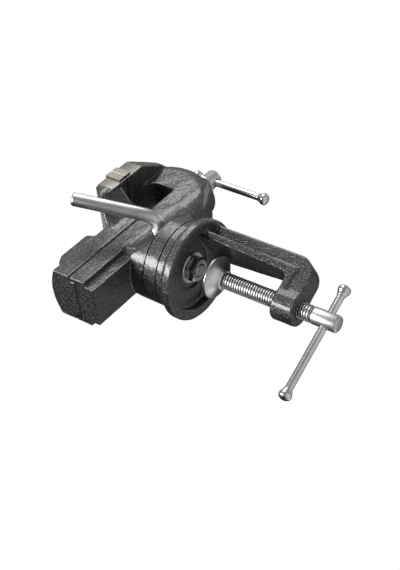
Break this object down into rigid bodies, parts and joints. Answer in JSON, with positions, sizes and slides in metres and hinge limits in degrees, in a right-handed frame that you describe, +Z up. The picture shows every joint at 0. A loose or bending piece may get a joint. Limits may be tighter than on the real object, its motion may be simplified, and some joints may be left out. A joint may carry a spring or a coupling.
{
  "type": "bench vise",
  "caption": "Clamp-on bench vise with a turning head: a C-clamp base, two jaws over a pipe gap, a lead screw with a sliding bar, and an L-shaped lock handle.",
  "frame": {"origin": "centre of the base disc's bench plane, on the axis the head turns about", "axes": "+Z up the turning axis toward the jaws, +X toward the clamp's spine"},
  "size_m": [0.1616, 0.1124, 0.2114],
  "materials": {
    "painted_iron": "dark grey hammered enamel on cast iron",
    "ground_steel": "ground",
    "dark_steel": "oiled",
    "bright_steel": "bright zinc plate"
  },
  "bodies": {
    "base": {"clamp_frame": "painted_iron", "swivel_bolt": "bright_steel", "swivel_washer": "bright_steel", "swivel_nut": "bright_steel"},
    "pad": {"clamp_pad": "bright_steel"},
    "clamp_screw": {"clamp_screw": "bright_steel"},
    "clamp_bar": {"clamp_bar": "bright_steel", "clamp_bar_knob_1": "bright_steel", "clamp_bar_knob_2": "bright_steel"},
    "head": {"head_body": "painted_iron", "fixed_jaw_plate": "ground_steel", "fixed_plate_screw_1": "dark_steel", "fixed_plate_screw_2": "dark_steel", "lead_thrust_washer": "bright_steel"},
    "slider": {"sliding_jaw": "painted_iron", "sliding_jaw_plate": "ground_steel", "sliding_plate_screw_1": "dark_steel", "sliding_plate_screw_2": "dark_steel", "lead_nut": "dark_steel"},
    "lead_screw": {"lead_screw": "bright_steel", "lead_retaining_collar": "dark_steel"},
    "lead_bar": {"lead_bar": "bright_steel", "lead_bar_knob_1": "bright_steel", "lead_bar_knob_2": "bright_steel"},
    "lock": {"lock_handle": "bright_steel"}
  },
  "joints": [
    {"name": "head_turn", "type": "hinge", "parent": "base", "child": "head", "pos_m": [0, 0, 0.013], "axis": [0, 0, 1], "continuous": true},
    {"name": "jaw_slide", "type": "slide", "parent": "head", "child": "slider", "axis": [-0.8796, -0.4756, 0], "range_m": [0, 0.048]},
    {"name": "lead_screw_turn", "type": "hinge", "parent": "head", "child": "lead_screw", "pos_m": [0.07389, 0.03995, 0.0605], "axis": [0.8796, 0.4756, 0], "range_deg": [-10, 8700]},
    {"name": "lead_bar_slide", "type": "slide", "parent": "lead_screw", "child": "lead_bar", "axis": [0, 0, 1], "range_m": [-0.001, 0.039]},
    {"name": "lock_turn", "type": "hinge", "parent": "head", "child": "lock", "pos_m": [0.01786, -0.02672, 0.034], "axis": [0.6876, -0.6974, -0.2021], "range_deg": [-25, 70]},
    {"name": "clamp_travel", "type": "slide", "parent": "base", "child": "pad", "axis": [0, 0, 1], "range_m": [-0.04, 0.009]},
    {"name": "clamp_screw_turn", "type": "hinge", "parent": "pad", "child": "clamp_screw", "pos_m": [0, 0, -0.05], "axis": [0, 0, 1], "range_deg": [-7230, 1640]},
    {"name": "clamp_bar_slide", "type": "slide", "parent": "clamp_screw", "child": "clamp_bar", "axis": [0.9979, 0.0645, 0], "range_m": [-0.0125, 0.0465]}
  ],
  "couplings": [
    {"joint": "lead_screw_turn", "follows": "jaw_slide", "rad_per_m": 3141.6},
    {"joint": "clamp_screw_turn", "follows": "clamp_travel", "rad_per_m": 3141.6}
  ]
}
